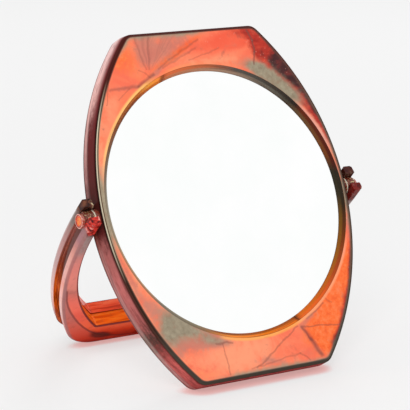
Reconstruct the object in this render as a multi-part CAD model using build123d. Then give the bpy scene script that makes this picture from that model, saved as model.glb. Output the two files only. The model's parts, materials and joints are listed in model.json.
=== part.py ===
from build123d import *
from math import acos, atan2, degrees, hypot, sqrt
import os

# A two-sided vanity mirror: a framed head that turns on two pins between the arms of
# a U-shaped prop stand. The head leans back on its lower edge, the stand props it.
# Millimetres and degrees. X runs along the pins, Y to the back, Z up.

# Mirror glass and its bezel
view_radius = 75.0
bezel_width = 3.3
bezel_depth = 3.25
glass_lip = 2.0
glass_thickness = 2.0
glass_gap = 0.3
magnifier_sag = 3.5

# Head frame, at the seam where its two solid half shells are bonded
side_border = 3.8
end_border = 21.5
side_arc_radius = 146.4
head_corner_radius = 8.5
head_thickness = 16.0
front_draft = 7.0
back_draft = 3.0
rim_chamfer = 1.2
back_chamfer = 1.6

# Packing between the two glasses
pad_thickness = 1.0
pad_width = 10.0
magnifier_pad_width = 6.5
packing_gap = 0.5
spacer_width = 8.5
spacer_back = 1.2
pad_ease = 0.04
packing_sides = 24

# Stand
arm_gap = 2.4
arm_width = 6.2
arm_rise = 8.0
stand_thickness = 17.0
window_gap = 4.8
window_arc_extra = 6.1
window_corner_radius = 3.0
outer_arc_extra = 77.5
outer_corner_radius = 30.0
front_arc_tighten = 16.0
front_corner_tighten = 4.0
crossbar_height = 20.2
outer_front_round = 2.8
outer_back_chamfer = 1.0
inner_edge_chamfer = 0.7
prong_end_chamfer = 0.5
groove_width = 6.8
groove_depth = 2.0
groove_lip_chamfer = 0.4
slit_width = 1.6
slit_depth = 1.0
slit_start = 10.0

# Pivots
pin_radius = 2.4
pin_running_gap = 0.05
pin_head_radius = 4.1
pin_head_thickness = 1.8
pin_dish_depth = 0.3
pin_dish_border = 0.9
collar_size = 6.0
collar_thickness = 1.2
collar_gap = 0.2
collar_web = 0.75
lug_radius = 5.6
boss_radius = 5.2
boss_recess = 0.5
head_recess_gap = 0.4
seat_radius = 6.0
washer_radius = 5.2
washer_thickness = 0.8
washer_gap = 0.1
side_play = 0.05
spring_height = 0.45
spring_thickness = 0.3

# Pose shown: how far the head leans back from upright
head_lean = 23.35

# Worked-out sizes
half_thickness = head_thickness / 2
bezel_radius = view_radius + bezel_width
glass_radius = view_radius + glass_lip
pocket_radius = glass_radius + glass_gap
glass_face = half_thickness - bezel_depth
glass_back = glass_face - glass_thickness
bend_radius = (glass_radius**2 + magnifier_sag**2) / (2 * magnifier_sag)
head_half_width = bezel_radius + side_border
head_half_height = bezel_radius + end_border
yoke_half_gap = head_half_width + arm_gap
yoke_half_width = yoke_half_gap + arm_width
window_depth = head_half_height + window_gap
yoke_depth = window_depth + crossbar_height
window_arc_radius = side_arc_radius + window_arc_extra
outer_arc_radius = window_arc_radius + outer_arc_extra
half_stand = stand_thickness / 2
half_groove = groove_width / 2
boss_face = yoke_half_width - boss_recess
lug_face = yoke_half_gap - side_play - washer_thickness
pin_bore_radius = pin_radius + pin_running_gap
collar_start = pocket_radius + collar_web + collar_gap
collar_end = collar_start + collar_thickness
collar_seat = collar_end + spring_height
pin_head_seat = boss_face + side_play


def lens_outline(half_wide, half_high, arc_radius, corner_radius):
    """Outline with two bowed sides between a straight top and a straight bottom."""
    centre = half_wide - arc_radius
    corner = centre + sqrt(arc_radius**2 - half_high**2)
    top = Line((-corner, half_high), (corner, half_high))
    right = ThreePointArc((corner, half_high), (half_wide, 0), (corner, -half_high))
    bottom = Line((corner, -half_high), (-corner, -half_high))
    left = ThreePointArc((-corner, -half_high), (-half_wide, 0), (-corner, half_high))
    face = make_face([top, right, bottom, left])
    return fillet(face.vertices(), corner_radius)


def head_outline(inset=0.0):
    """The head's outline, drawn in by an even amount."""
    return lens_outline(
        head_half_width - inset,
        head_half_height - inset,
        side_arc_radius - inset,
        head_corner_radius - inset,
    )


def round_piece(points):
    """Solid turned about the mirror's own axis, from radius and depth points."""
    return revolve(Plane.XY * make_face(Polyline(*points, close=True)), Axis.Y)


def turned_pin(points):
    """Solid turned about the pivot axis, from distance and radius points."""
    return revolve(Plane.XY * make_face(Polyline(*points, close=True)), Axis.X)


def rod(radius, start, end):
    """Cylinder along the pivot axis."""
    return turned_pin([(start, 0), (end, 0), (end, radius), (start, radius)])


def plate(face, front, back):
    """A drawn face made into a plate between two depths."""
    return Pos(0, back, 0) * extrude(Plane.XZ * face, amount=back - front)


def glass_opening():
    """Cutter for the sloped bezel and the pocket that the glass drops in from behind."""
    slope = bezel_width / bezel_depth
    return round_piece([
        (0, -half_thickness - 1),
        (bezel_radius + slope, -half_thickness - 1),
        (view_radius, -glass_face),
        (pocket_radius, -glass_face),
        (pocket_radius, 1),
        (0, 1),
    ])


def front_half(shape):
    """What lies on the front side of the seam."""
    size = 4 * head_half_height
    return shape & Pos(0, -size / 2, 0) * Box(size, size, size)


def pivot_lugs():
    """Round lugs on the two sides, with flat faces for the friction washers."""
    lug = front_half(rod(lug_radius, collar_seat, lug_face))
    return lug + mirror(lug, about=Plane.YZ)


def pivot_cuts():
    """Bores for the pins and square pockets that hold their collars."""
    pocket = collar_size + 2 * collar_gap
    length = collar_seat - collar_start + collar_gap
    cut = Pos(collar_seat - length / 2, 0, 0) * Box(length, pocket, pocket)
    cut += rod(pin_bore_radius, collar_end, lug_face + 1)
    return cut + mirror(cut, about=Plane.YZ)


def half_shell(body):
    """One moulded half of the head, its outside already finished."""
    return body + pivot_lugs() - glass_opening() - pivot_cuts()


def half_body(draft):
    """Solid half of the head, drawn in towards its face by the mould's draft."""
    return extrude(Plane.XZ * head_outline(), amount=half_thickness, taper=draft)


def face_edges(body):
    """Edges round the outer face of a half."""
    return body.faces().sort_by(Axis.Y)[0].edges()


def make_front_shell():
    return half_shell(chamfer(face_edges(half_body(front_draft)), rim_chamfer))


def make_back_shell():
    shell = half_shell(chamfer(face_edges(half_body(back_draft)), back_chamfer))
    return mirror(shell, about=Plane.XZ)


def make_plain_mirror():
    return plate(Circle(glass_radius), -glass_face, -glass_back)


def bend_ball(rim):
    """Ball whose near side is the bent glass's face that meets its rim at one depth."""
    return Pos(0, rim + bend_radius - magnifier_sag, 0) * Sphere(bend_radius)


def make_magnifying_mirror():
    """Round of glass between two equal balls, hollow to the back so that it magnifies."""
    blank = Rot(90, 0, 0) * Cylinder(glass_radius, 2 * head_thickness)
    return (blank & bend_ball(glass_back)) - bend_ball(glass_face)


def ring(outer, width, front, back):
    """Flat ring about the mirror's axis, cut with straight sides."""
    face = RegularPolygon(outer, packing_sides) - RegularPolygon(outer - width, packing_sides)
    return plate(face, front, back)


def make_packing():
    """Foam pads behind both glasses and the stiff ring between the pads."""
    outer = glass_radius - packing_gap
    pad_back = -glass_back + pad_thickness
    pad = ring(outer, magnifier_pad_width, spacer_back, glass_back)
    return {
        "plain_mirror_pad": ring(outer, pad_width, -glass_back, pad_back),
        "spacer_ring": ring(outer, spacer_width, pad_back, spacer_back),
        "magnifying_mirror_pad": pad - bend_ball(glass_back - pad_ease),
    }


def yoke_outline(inset=0.0):
    """Outer outline of the stand's back bead, drawn in by an even amount."""
    return lens_outline(
        yoke_half_width - inset,
        yoke_depth - inset,
        outer_arc_radius - inset,
        outer_corner_radius - inset,
    )


def front_outline(inset=0.0):
    """Outer outline of the front bead, which curves in a little sooner."""
    return lens_outline(
        yoke_half_width - inset,
        yoke_depth - inset,
        outer_arc_radius - front_arc_tighten - inset,
        outer_corner_radius - front_corner_tighten - inset,
    )


def window_outline(grow=0.0):
    """Opening of the stand that the head turns in, grown by an even amount."""
    return lens_outline(
        yoke_half_gap + grow,
        window_depth + grow,
        window_arc_radius + grow,
        window_corner_radius,
    )


def lower_part(top):
    """Block that takes in everything below one height."""
    size = 4 * yoke_depth
    return Pos(0, 0, top - size / 2) * Box(size, size, size)


def make_beads():
    """The two plates beside the groove, bevelled towards it, the front one well rounded."""
    front = plate(front_outline(), -half_stand, -half_groove)
    front = chamfer(front.faces().sort_by(Axis.Y)[-1].edges(), groove_lip_chamfer)
    front = fillet(front.faces().sort_by(Axis.Y)[0].edges(), outer_front_round)
    back = plate(yoke_outline(), half_groove, half_stand)
    back = chamfer(back.faces().sort_by(Axis.Y)[0].edges(), groove_lip_chamfer)
    return front + chamfer(back.faces().sort_by(Axis.Y)[-1].edges(), outer_back_chamfer)


def yoke_ring():
    """Closed ring that the stand is cut from: two beads, and a web set back between them."""
    body = plate(front_outline(groove_depth), -half_groove, half_groove) + make_beads()
    body -= plate(window_outline(), -half_stand, half_stand)
    faces = body.faces().sort_by(Axis.Y)
    rims = faces[0].inner_wires() + faces[-1].inner_wires()
    return chamfer(rims.edges(), inner_edge_chamfer)


def arm_cuts():
    """What is taken away on both arms: the space between the prongs and the pin's seats."""
    prongs = Pos(0, 0, arm_rise) * Box(4 * yoke_half_width, groove_width, 2 * arm_rise)
    slit = plate(window_outline(slit_depth), -slit_width / 2, slit_width / 2)
    return prongs + (slit & lower_part(-slit_start))


def pivot_boss():
    """Round boss for a pin, standing between the two prongs of the right arm."""
    return rod(boss_radius, yoke_half_gap, boss_face)


def pivot_bores():
    """Pin bores, the seats for the washers inside and for the pin heads outside."""
    seat = rod(seat_radius, 0, yoke_half_gap)
    bore = rod(pin_bore_radius, 0, boss_face + 1)
    recess = rod(pin_head_radius + head_recess_gap, boss_face, 2 * yoke_half_width)
    cuts = seat + bore + recess
    return cuts + mirror(cuts, about=Plane.YZ)


def make_stand():
    """U-shaped stand in its own plane, with its pin bores on the X axis."""
    body = (yoke_ring() & lower_part(arm_rise)) - arm_cuts()
    ends = body.faces().filter_by_position(Axis.Z, arm_rise - 0.01, arm_rise + 0.01)
    body = chamfer(ends.edges(), prong_end_chamfer)
    boss = pivot_boss()
    return body + boss + mirror(boss, about=Plane.YZ) - pivot_bores()


def make_pin():
    """Pivot pin: dished head, plain shank and a square collar that stops it turning."""
    tip = pin_head_seat + pin_head_thickness
    dish = pin_head_radius - pin_dish_border
    turned = turned_pin([
        (collar_start, 0),
        (collar_start, pin_radius),
        (pin_head_seat, pin_radius),
        (pin_head_seat, pin_head_radius),
        (tip, pin_head_radius),
        (tip, dish),
        (tip - pin_dish_depth, dish - pin_dish_depth),
        (tip - pin_dish_depth, 0),
    ])
    middle = (collar_start + collar_end) / 2
    return turned + Pos(middle, 0, 0) * Box(collar_thickness, collar_size, collar_size)


def make_washer():
    """Flat friction washer between a lug and an arm."""
    inner = pin_radius + washer_gap
    end = lug_face + washer_thickness
    return turned_pin([(lug_face, inner), (end, inner), (end, washer_radius), (lug_face, washer_radius)])


def make_spring():
    """Square spring plate, bent across its middle, that draws the pin inwards."""
    half = collar_size / 2
    rise = spring_height - spring_thickness
    profile = Polyline(
        (collar_end, -half),
        (collar_end + rise, 0),
        (collar_end, half),
        (collar_end + spring_thickness, half),
        (collar_seat, 0),
        (collar_end + spring_thickness, -half),
        close=True,
    )
    blank = extrude(Plane.XY * make_face(profile), amount=half, both=True)
    return blank - rod(pin_radius + washer_gap, collar_end - 1, collar_seat + 1)


def head_pieces():
    """Every piece that turns with the mirror, upright about the pivot axis."""
    pieces = {
        "front_shell": make_front_shell(),
        "back_shell": make_back_shell(),
        "plain_mirror": make_plain_mirror(),
        "magnifying_mirror": make_magnifying_mirror(),
    }
    pieces.update(make_packing())
    makers = {"pivot_pin": make_pin, "friction_washer": make_washer, "spring_washer": make_spring}
    for name, maker in makers.items():
        piece = maker()
        pieces["right_" + name] = piece
        pieces["left_" + name] = mirror(piece, about=Plane.YZ)
    return pieces


def stand_angle(pivot_height):
    """Angle from upright at which the stand's foot reaches the floor."""
    reach = yoke_depth - outer_front_round
    half = half_stand - outer_front_round
    drop = pivot_height - outer_front_round
    return degrees(atan2(half, reach) + acos(drop / hypot(reach, half)))


def main():
    leant = {name: Rot(-head_lean, 0, 0) * piece for name, piece in head_pieces().items()}
    pivot_height = -min(piece.bounding_box().min.Z for piece in leant.values())
    lean = stand_angle(pivot_height)
    leant["stand"] = Rot(lean, 0, 0) * make_stand()
    boxes = [piece.bounding_box() for piece in leant.values()]
    front = min(box.min.Y for box in boxes)
    back = max(box.max.Y for box in boxes)
    place = Pos(0, -(front + back) / 2, pivot_height)
    os.makedirs("parts", exist_ok=True)
    for name, piece in leant.items():
        export_step(place * piece, f"parts/{name}.step")
    print("pivot at", 0, round(-(front + back) / 2, 3), round(pivot_height, 3))
    print("stand angle", round(lean, 3), "depth", round(back - front, 2))


main()
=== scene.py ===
# %% [markdown]
# # A vanity mirror in mottled plastic
# The frame and the stand of this mirror are moulded from clear plastic with smoky orange
# pigment stirred in, so the light goes a little way in before it comes back. That gives the
# warm faces and the dark edges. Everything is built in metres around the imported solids.

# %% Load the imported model
import json
import bmesh
import bpy
import numpy as np
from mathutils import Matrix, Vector


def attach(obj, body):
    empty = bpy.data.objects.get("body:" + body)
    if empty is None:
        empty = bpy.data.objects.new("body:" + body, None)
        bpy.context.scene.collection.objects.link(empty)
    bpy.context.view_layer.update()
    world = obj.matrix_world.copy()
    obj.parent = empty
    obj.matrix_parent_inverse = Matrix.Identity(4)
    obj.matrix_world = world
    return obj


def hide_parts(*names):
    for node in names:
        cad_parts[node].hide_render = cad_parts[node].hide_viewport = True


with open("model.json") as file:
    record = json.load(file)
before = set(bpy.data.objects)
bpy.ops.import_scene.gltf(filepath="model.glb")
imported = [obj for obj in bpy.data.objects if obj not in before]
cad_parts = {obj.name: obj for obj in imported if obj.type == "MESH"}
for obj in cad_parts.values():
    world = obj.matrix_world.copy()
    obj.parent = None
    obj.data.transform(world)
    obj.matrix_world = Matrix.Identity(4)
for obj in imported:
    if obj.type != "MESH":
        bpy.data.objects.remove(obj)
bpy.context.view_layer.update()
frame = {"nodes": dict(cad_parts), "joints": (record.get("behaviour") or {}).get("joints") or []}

# %% [markdown]
# ## Sizes
# Lengths are written in millimetres, as a product drawing has them, and turned to metres
# once. The head and the stand both turn on the pins, so each has its own upright frame at
# the pivot: X along the pins, Y to the back, Z up. A piece is worked out there and then
# leant over by its angle.

# %% Sizes and the two leaning frames
MM = 0.001
PIVOT = np.array(frame["joints"][0]["pos_m"])
HEAD_LEAN = np.radians(-23.35)
STAND_LEAN = np.radians(44.469)


def leant(points_mm, lean):
    """Millimetre points turned about the pivot axis by an angle, in the row's metres."""
    x, y, z = np.moveaxis(np.asarray(points_mm, dtype=float), -1, 0)
    turned = [x, y * np.cos(lean) - z * np.sin(lean), y * np.sin(lean) + z * np.cos(lean)]
    return np.stack(turned, axis=-1) * MM + PIVOT


print("pivot", PIVOT.round(4))

# %% [markdown]
# ## Camera
# The photograph was taken with a long lens from the front left, a little above the mirror.
# Its place was found once from the outline of the glass, the frame and the stand. Blender
# wants the lens for a 36 mm wide sensor.

# %% Camera
CAMERA_FROM_PIVOT = (-609.8, -916.8, 226.5)
CAMERA_BACKWARD = (-0.5353, -0.8200, 0.2027)
FOCAL_IN_IMAGE_WIDTHS = 2008.6 / 410

camera = bpy.data.objects.new("camera", bpy.data.cameras.new("camera"))
bpy.context.collection.objects.link(camera)
camera.location = PIVOT + np.array(CAMERA_FROM_PIVOT) * MM
camera.rotation_euler = Vector(CAMERA_BACKWARD).to_track_quat("Z", "Y").to_euler()
camera.data.sensor_width = 36
camera.data.lens = 36 * FOCAL_IN_IMAGE_WIDTHS
camera.data.clip_start = 0.05
bpy.context.scene.camera = camera
bpy.context.scene.view_settings.view_transform = "Standard"
print("lens", round(camera.data.lens, 1))

# %% [markdown]
# ## Helpers
# One function turns a hex colour to Blender's linear values, and one adds a shader node
# with its settings and links. The mottled plastic is painted in layers, as a maker stirs
# one pigment into another, so two more work out how much of a layer shows and lay it over
# what is there. The mesh helpers turn a grid of points into a piece that rides on a body.


# %% Colours and nodes
def rgb(code):
    """Linear RGBA from an sRGB hex colour."""
    part = np.array([int(code[i : i + 2], 16) for i in (1, 3, 5)]) / 255
    linear = np.where(part <= 0.04045, part / 12.92, ((part + 0.055) / 1.055) ** 2.4)
    return (*linear.tolist(), 1.0)


def add(tree, kind, inputs=(), stops=(), out=0, **settings):
    """A node with its settings, given back as one of its outputs. kind is its type without
    the word ShaderNode. An input takes a socket, a number, a vector or an sRGB hex colour.
    stops lists a colour ramp's places in order, with their colours and any opacities."""
    node = tree.nodes.new("ShaderNode" + kind)
    for name, value in settings.items():
        setattr(node, name, value)
    for key, value in dict(inputs).items():
        if isinstance(value, bpy.types.NodeSocket):
            tree.links.new(value, node.inputs[key])
        else:
            node.inputs[key].default_value = rgb(value) if isinstance(value, str) else value
    # A new ramp already holds its two ends, so the stops between them come last.
    for i, (place, colour, *opacity) in enumerate([*stops[:1], *stops[-1:], *stops[1:-1]]):
        stop = node.color_ramp.elements[i] if i < 2 else node.color_ramp.elements.new(place)
        stop.position = place
        stop.color = (*rgb(colour)[:3], *(opacity or [1.0]))
    return node.outputs[out] if node.outputs else node


print("mid grey", rgb("#808080")[0])


# %% Layers of pigment
def cover(tree, *parts):
    """How much of a layer shows: the product of its parts. A part is a socket or a number,
    or a tuple of a value and two places between which it goes smoothly from 0 to 1, or
    between two more numbers that close the tuple."""
    total = None
    for part in parts:
        if isinstance(part, tuple):
            value, low, high, first, last = (*part, 0.0, 1.0)[:5]
            limits = {0: value, 1: low, 2: high, 3: first, 4: last}
            part = add(tree, "MapRange", limits, interpolation_type="SMOOTHSTEP")
        total = part if total is None else add(tree, "Math", {0: total, 1: part}, operation="MULTIPLY")
    return total


def painted(tree, under, over, *parts):
    """One colour laid over another, as much as its parts let show."""
    return add(tree, "Mix", {0: cover(tree, *parts), 6: under, 7: over}, out=2, data_type="RGBA")


def new_material(name):
    """An empty material and its node tree."""
    material = bpy.data.materials.new(name)
    material.use_nodes = True
    material.node_tree.nodes.clear()
    return material, material.node_tree


def surfaced(tree, inputs, inner=0.0):
    """The polished surface of a material. A share of it, the inner light, keeps the colour
    without the pale sheen, as where light goes in and does not come back."""
    surface = add(tree, "BsdfPrincipled", inputs)
    if inner != 0.0:
        dull = add(tree, "BsdfDiffuse", {"Color": inputs["Base Color"]})
        surface = add(tree, "MixShader", {0: inner, 1: surface, 2: dull})
    add(tree, "OutputMaterial", {"Surface": surface})


# %% Mesh helpers
def quads(rows, columns, width):
    """Corner numbers of the quads between neighbouring rows and columns of a point grid that
    is width points wide. A run that ends where it began closes on itself."""
    low, high = rows[:-1, None] * width, rows[1:, None] * width
    here, there = columns[None, :-1], columns[None, 1:]
    return np.stack([low + here, low + there, high + there, high + here], -1).reshape(-1, 4).tolist()


def closed(run):
    """A run of rows or columns that ends where it began."""
    return np.append(run, run[0])


def riding(name, work, mesh, material, body, sharp_from):
    """A piece that rides on a body, from work on its mesh. It is smooth, and sharp only where
    two faces meet at more than an angle in degrees."""
    work.to_mesh(mesh)
    work.free()
    mesh.materials.clear()
    mesh.materials.append(material)
    mesh.shade_smooth()
    mesh.set_sharp_from_angle(angle=np.radians(sharp_from))
    piece = bpy.data.objects.new(name, mesh)
    bpy.context.collection.objects.link(piece)
    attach(piece, body)
    return piece


def mesh_piece(name, points, faces, material, body):
    """A piece from points in metres and faces, turned to point outwards."""
    mesh = bpy.data.meshes.new(name)
    mesh.from_pydata(points.reshape(-1, 3).tolist(), [], list(faces))
    work = bmesh.new()
    work.from_mesh(mesh)
    bmesh.ops.recalc_face_normals(work, faces=work.faces)
    piece = riding(name, work, mesh, material, body, sharp_from=32)
    print(name, len(mesh.polygons), "faces")
    return piece


def set_values(piece, **fields):
    """Numbers stored point by point in the piece's mesh, for its material to read."""
    for name, values in fields.items():
        layer = piece.data.attributes.new(name, "FLOAT", "POINT")
        layer.data.foreach_set("value", np.ascontiguousarray(values, dtype=np.float32).ravel())


# %% [markdown]
# ## Floor and light
# The mirror stands on a plain pale sweep. The floor's own colour makes the background, and
# the sky that lights it has a strength at which a colour comes out as it is written. Two
# large soft lamps give the plastic something to shine in. Light that has gone through the
# plastic falls on the paper as a pink glow where the mirror comes close to it. A painted
# spot would stay behind when the stand moves, so the floor's material asks how much of the
# sky near each place is covered, and lays the pink there.

# %% Floor
FLOOR_HALF = 4.0
GLOW_REACH = 7 * MM
EVEN_SHARE = 0.62
floor_material, tree = new_material("pale_paper_sweep")
open_sky = add(tree, "AmbientOcclusion", {"Distance": GLOW_REACH}, out="AO", samples=8)
paper, paper_seen = [
    painted(tree, plain, "#F2948C", (open_sky, 0.4, 0.9, 0.6, 0)) for plain in ("#F2F2F2", "#F1F1F1")]
# The camera sees the paper mostly at its own even colour, with a share of the real light
# and shadow that fall on it.
even_share = cover(tree, add(tree, "LightPath", out="Is Camera Ray"), EVEN_SHARE)
lit_paper = add(tree, "BsdfPrincipled", {"Base Color": paper, "Roughness": 0.9})
even_paper = add(tree, "Emission", {"Color": paper_seen})
sweep = add(tree, "MixShader", {0: even_share, 1: lit_paper, 2: even_paper})
add(tree, "OutputMaterial", {"Surface": sweep})
corners = np.array([[-1, -1, 0], [1, -1, 0], [1, 1, 0], [-1, 1, 0]]) * [FLOOR_HALF, FLOOR_HALF, 0]
floor_mesh = bpy.data.meshes.new("floor")
floor_mesh.from_pydata(corners.tolist(), [], [[0, 1, 2, 3]])
floor_mesh.materials.append(floor_material)
floor = bpy.data.objects.new("floor", floor_mesh)
bpy.context.collection.objects.link(floor)
print("floor", 2 * FLOOR_HALF, "m wide")

# %% World
world = bpy.data.worlds.new("studio")
bpy.context.scene.world = world
world.use_nodes = True
tree = world.node_tree
tree.nodes.clear()
# The camera and the reflections see white, and the mirror is lit by a little less.
seen = 0.0
for ray in ("Is Camera Ray", "Is Glossy Ray", "Is Transmission Ray"):
    seen = add(tree, "Math", {0: seen, 1: add(tree, "LightPath", out=ray)}, operation="MAXIMUM")
plain = add(tree, "Background", {"Color": "#FFFFFF", "Strength": 0.75})
white = add(tree, "Background", {"Color": "#FFFFFF", "Strength": 1.0})
add(tree, "OutputWorld", {"Surface": add(tree, "MixShader", {0: seen, 1: plain, 2: white})})
print("world", len(tree.nodes), "nodes")


# %% Lamps
MIDDLE = (0, 0, 0.08)


def soft_lamp(name, place, size, power):
    """A square area lamp, its place and size in metres, facing the middle of the mirror."""
    data = bpy.data.lights.new(name, "AREA")
    data.size = size
    data.energy = power
    lamp = bpy.data.objects.new(name, data)
    bpy.context.collection.objects.link(lamp)
    lamp.location = place
    lamp.rotation_euler = (Vector(place) - Vector(MIDDLE)).to_track_quat("Z", "Y").to_euler()
    print(name, power, "W")


soft_lamp("lamp_front_left", place=(-1.5, -1.9, 2.0), size=1.2, power=34)
soft_lamp("lamp_behind_right", place=(1.3, 1.5, 1.8), size=1.0, power=12)

# %% [markdown]
# ## The two bonded halves of the frame
# The frame is two solid mouldings bonded face to face. Seen from the front each is a ring
# between a lens-shaped outline and the round opening, and its section has a drafted wall, a
# chamfer, a flat face and the sloped bezel. A boolean of boxes and cylinders would leave
# uneven triangles that polished plastic shows at once. So each half is one grid: the rows
# walk round the section and the columns walk round the outline.


# %% The outline of the frame
HALF_WIDTH, HALF_HEIGHT, SIDE_ARC, CORNER = 82.1, 99.8, 146.4, 8.5
BEZEL, GLASS_SEEN, POCKET = 78.3, 75.0, 77.3
HALF_THICKNESS, GLASS_DEPTH = 8.0, 4.75


def bow(half_width, half_height, arc, corner, start, side_steps, corner_steps, end_steps):
    """A quarter of an outline and its outward normals: a side arc, a corner arc and half of
    the straight end. An arc is centre + radius (cos t, sin t), and the corner's centre lies
    where the two arcs meet smoothly. Angles in start come before the side arc's own."""
    side_x, corner_z = half_width - arc, half_height - corner
    corner_x = side_x + np.sqrt((arc - corner) ** 2 - corner_z**2)
    meet = np.arctan2(corner_z, corner_x - side_x)
    round_corner = np.linspace(meet, np.pi / 2, corner_steps)
    turn = np.concatenate([start, np.linspace(0, meet, side_steps)[:-1], round_corner])
    on_side = turn < meet
    way = np.stack([np.cos(turn), np.sin(turn)], -1)
    centre = np.where(on_side[:, None], [side_x, 0], [corner_x, corner_z])
    points = centre + np.where(on_side, arc, corner)[:, None] * way
    end = np.stack([np.linspace(corner_x, 0, end_steps)[1:], np.full(end_steps - 1, half_height)], -1)
    return np.concatenate([points, end]), np.concatenate([way, np.tile([0.0, 1.0], (end_steps - 1, 1))])


def all_round(quarter):
    """A quarter and its three mirror images."""
    left = quarter[::-1] * [-1, 1]
    return np.concatenate([quarter[:-1], left[:-1], -quarter[:-1], -left[:-1]])


# Columns of the side, the corner and half the straight end.
FRAME_STEPS = (64, 13, 27)
quarter = bow(HALF_WIDTH, HALF_HEIGHT, SIDE_ARC, CORNER, [], *FRAME_STEPS)
outline, outward = map(all_round, quarter)
print("outline", len(outline), "points")


# %% Rounded sections
def rounded(corners, radii, steps=6):
    """A section's corners rounded. Each inner corner becomes a true arc that touches both of
    its sides, centre + radius (u cos t + v sin t), with one more point just beyond each end
    that keeps the flats flat. The last column counts the corners."""
    corners = np.asarray(corners, dtype=float)
    rows = [np.append(corners[0], 0)]
    for i, radius in enumerate(radii, start=1):
        before, here, after = corners[i - 1 : i + 2]
        reach_a, reach_b = np.linalg.norm(before - here), np.linalg.norm(after - here)
        way_a, way_b = (before - here) / reach_a, (after - here) / reach_b
        half = np.arccos(np.clip(way_a @ way_b, -1, 1)) / 2
        cut = radius / np.tan(half)
        middle = here + (way_a + way_b) / np.linalg.norm(way_a + way_b) * radius / np.sin(half)
        u = (here + way_a * cut - middle) / radius
        t = np.linspace(0, 1, steps + 1)[:, None]
        turn = t * (np.pi - 2 * half)
        arc = middle + radius * (u * np.cos(turn) - way_a * np.sin(turn))
        count = i - cut / reach_a + t[:, 0] * (cut / reach_a + cut / reach_b)
        more = cut + min(0.12, 0.2 * cut)
        rows.append(np.append(here + way_a * more, i - more / reach_a))
        rows.extend(np.column_stack([arc, count]))
        rows.append(np.append(here + way_b * more, i + more / reach_b))
    rows.append(np.append(corners[-1], len(corners) - 1))
    return np.array(rows)


# %% The skin of one half
FACE_ROWS = 16


def half_frame(side, draft, chamfer):
    """Grid of one half. A row holds an inset from the outline, or a radius about the
    mirror's axis, and a depth. The face runs from the one to the other in even steps."""
    lean_in = np.tan(draft) * HALF_THICKNESS
    wall_end = (lean_in - chamfer * np.sin(draft), HALF_THICKNESS - chamfer * np.cos(draft))
    face_start = lean_in + chamfer
    outer = rounded(
        [(0.4, 0), (0, 0), wall_end, (face_start, HALF_THICKNESS), (face_start + 0.6, HALF_THICKNESS)],
        [0.12, 0.5, 0.4],
    )
    inner = rounded(
        [(BEZEL + 0.5, HALF_THICKNESS), (BEZEL, HALF_THICKNESS), (GLASS_SEEN, GLASS_DEPTH),
         (POCKET, GLASS_DEPTH), (POCKET, 0), (POCKET + 0.4, 0)],
        [0.3, 0.1, 0.08, 0.08],
    )
    away = outline / np.linalg.norm(outline, axis=1)[:, None]
    on_outline = outline[None] - outer[:, 0, None, None] * outward[None]
    on_circle = inner[:, 0, None, None] * away[None]
    w = np.linspace(0, 1, FACE_ROWS + 2)[1:-1, None, None]
    face = (1 - w) * on_outline[-1] + w * on_circle[0]
    seam = (1 - w[::5]) * on_circle[-1] + w[::5] * on_outline[0]
    flat = np.concatenate([on_outline, face, on_circle, seam])
    level = np.full(FACE_ROWS, HALF_THICKNESS)
    depth = np.concatenate([outer[:, 1], level, inner[:, 1], np.zeros(len(seam))])
    # The row count runs on: 1 wall, 2 chamfer, 3 face, 5 bezel slope, 6 lip, 7 pocket, 9 seam.
    across = np.concatenate([outer[:, 2], 4 + w[:, 0, 0] * 0.5, 4.5 + inner[:, 2], np.full(len(seam), 10.0)])
    depth = np.broadcast_to(side * depth[:, None], flat.shape[:2])
    across = np.broadcast_to(across[:, None], flat.shape[:2])
    # How far each point is in from the face's edge, below 0 on the chamfer and the wall.
    rim = ((outline[None] - flat) * outward[None]).sum(-1) - face_start
    return np.stack([flat[..., 0], depth, flat[..., 1]], -1), across, rim


# Each half: the side of the seam it is on, the draft of its wall, the length of its chamfer.
FRONT_HALF = (-1, np.radians(7), 1.2)
BACK_HALF = (1, np.radians(3), 1.6)
print("grid of one half", half_frame(*FRONT_HALF)[0].shape)

# %% [markdown]
# ## Mottled plastic
# The real material is a clear plastic with orange and smoke pigments folded into it, then
# polished. It shows a warm body with soft smoky clouds, thin flow lines where two streams
# of pigment met, and dark or pale lines along the edges, where the light leaves the block
# another way. The clouds are placed as soft spots worked out with numpy, and stay with the
# mesh as attributes. The flow lines are distances to short segments in the shader.


# %% Clouds of pigment
def clouds(x, z, spots):
    """Sum of soft spots: each is strength * exp(-((u/a)^2 + (v/b)^2)^1.2), where u and v
    are the distances from its centre along its own turned axes."""
    cx, cz, a, b, turn, strength = np.array(spots, dtype=float).T
    turn = np.radians(turn)
    dx, dz = x[..., None] - cx, z[..., None] - cz
    u, v = dx * np.cos(turn) + dz * np.sin(turn), dz * np.cos(turn) - dx * np.sin(turn)
    return np.clip((strength * np.exp(-(((u / a) ** 2 + (v / b) ** 2) ** 1.2))).sum(-1), 0, 1.6)


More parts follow.
